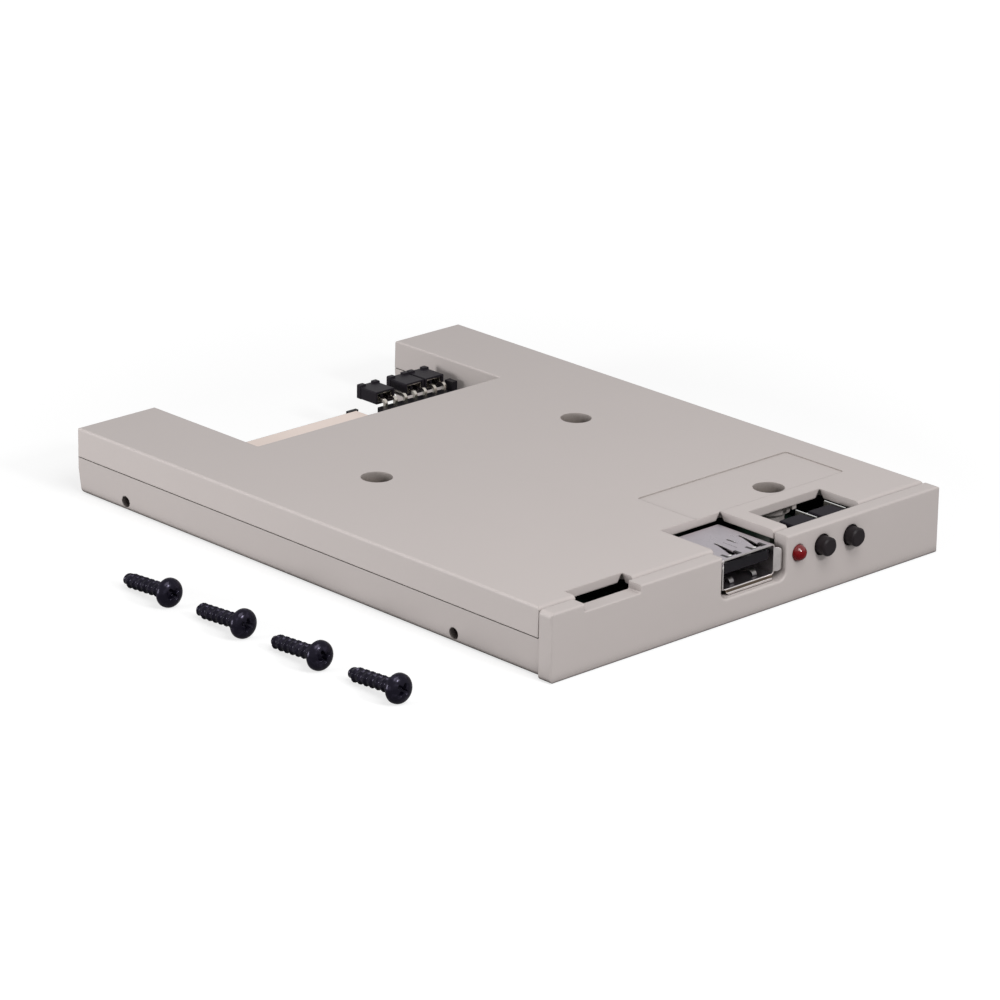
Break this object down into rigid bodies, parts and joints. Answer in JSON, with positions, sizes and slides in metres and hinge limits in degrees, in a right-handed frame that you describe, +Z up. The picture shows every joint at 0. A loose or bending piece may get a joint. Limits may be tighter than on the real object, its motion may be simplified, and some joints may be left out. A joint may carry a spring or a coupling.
{
  "type": "floppy drive emulator",
  "caption": "Slim moulded drive case with a USB socket, a light and push buttons in its bezel, and a flat-cable connector and jumper header in a notch at the rear.",
  "frame": {"origin": "middle of the case's bottom face, where the drive rests", "axes": "+X to the right along the bezel, +Y from the bezel to the rear, +Z up"},
  "size_m": [0.1241, 0.128, 0.0127],
  "materials": {
    "case_plastic": "fine matt moulded grey",
    "cover_plastic": "fine matt moulded grey",
    "black_screw": "black oxide",
    "board": "solder mask over glass laminate",
    "shell_steel": "bright plated steel sheet",
    "black_plastic": "black moulded plastic",
    "tin": "tin plate",
    "led_red": "deep red epoxy",
    "switch_plastic": "dark grey moulded plastic",
    "bracket_steel": "plated sheet steel",
    "stem_plastic": "black satin plastic",
    "cream_plastic": "cream moulded plastic",
    "pin_metal": "plated brass wire and strip",
    "cap_plastic": "black moulded plastic",
    "chip_plastic": "black moulded epoxy",
    "chip_ceramic": "ceramic chip",
    "screw_black": "blue-black oxide over steel"
  },
  "bodies": {
    "drive": {"lower_case": "case_plastic", "upper_case": "cover_plastic", "case_screws": "black_screw", "circuit_board": "board", "usb_shell": "shell_steel", "usb_insulator": "black_plastic", "usb_contacts": "tin", "activity_led": "led_red", "led_leads": "tin", "switch_body_1": "switch_plastic", "switch_body_2": "switch_plastic", "switch_bracket_1": "bracket_steel", "switch_bracket_2": "bracket_steel", "switch_terminals": "tin", "ribbon_housing": "cream_plastic", "ribbon_contacts": "tin", "header_base": "black_plastic", "header_pins": "pin_metal", "microcontroller": "chip_plastic", "buffer_chip": "chip_plastic", "crystal": "shell_steel", "voltage_regulator": "chip_plastic", "chip_parts": "chip_ceramic", "mounting_screws": "screw_black"},
    "button_1": {"button_stem_1": "stem_plastic"},
    "button_2": {"button_stem_2": "stem_plastic"},
    "cable_slider": {"ribbon_slider": "black_plastic"},
    "jumper_1": {"jumper_cap_1": "cap_plastic", "jumper_clip_1": "pin_metal"},
    "jumper_2": {"jumper_cap_2": "cap_plastic", "jumper_clip_2": "pin_metal"},
    "jumper_3": {"jumper_cap_3": "cap_plastic", "jumper_clip_3": "pin_metal"}
  },
  "joints": [
    {"name": "button_1_press", "type": "slide", "parent": "drive", "child": "button_1", "axis": [0, 1, 0], "range_m": [0, 0.0003], "stiffness_N_per_m": 800},
    {"name": "button_2_press", "type": "slide", "parent": "drive", "child": "button_2", "axis": [0, 1, 0], "range_m": [0, 0.0003], "stiffness_N_per_m": 800},
    {"name": "cable_slider_pull", "type": "slide", "parent": "drive", "child": "cable_slider", "axis": [0, 1, 0], "range_m": [0, 0.0012]},
    {"name": "jumper_1_pull", "type": "slide", "parent": "drive", "child": "jumper_1", "axis": [0, 1, 0], "range_m": [0, 0.0055]},
    {"name": "jumper_2_pull", "type": "slide", "parent": "drive", "child": "jumper_2", "axis": [0, 1, 0], "range_m": [0, 0.0055]},
    {"name": "jumper_3_pull", "type": "slide", "parent": "drive", "child": "jumper_3", "axis": [0, 1, 0], "range_m": [0, 0.0055]}
  ]
}
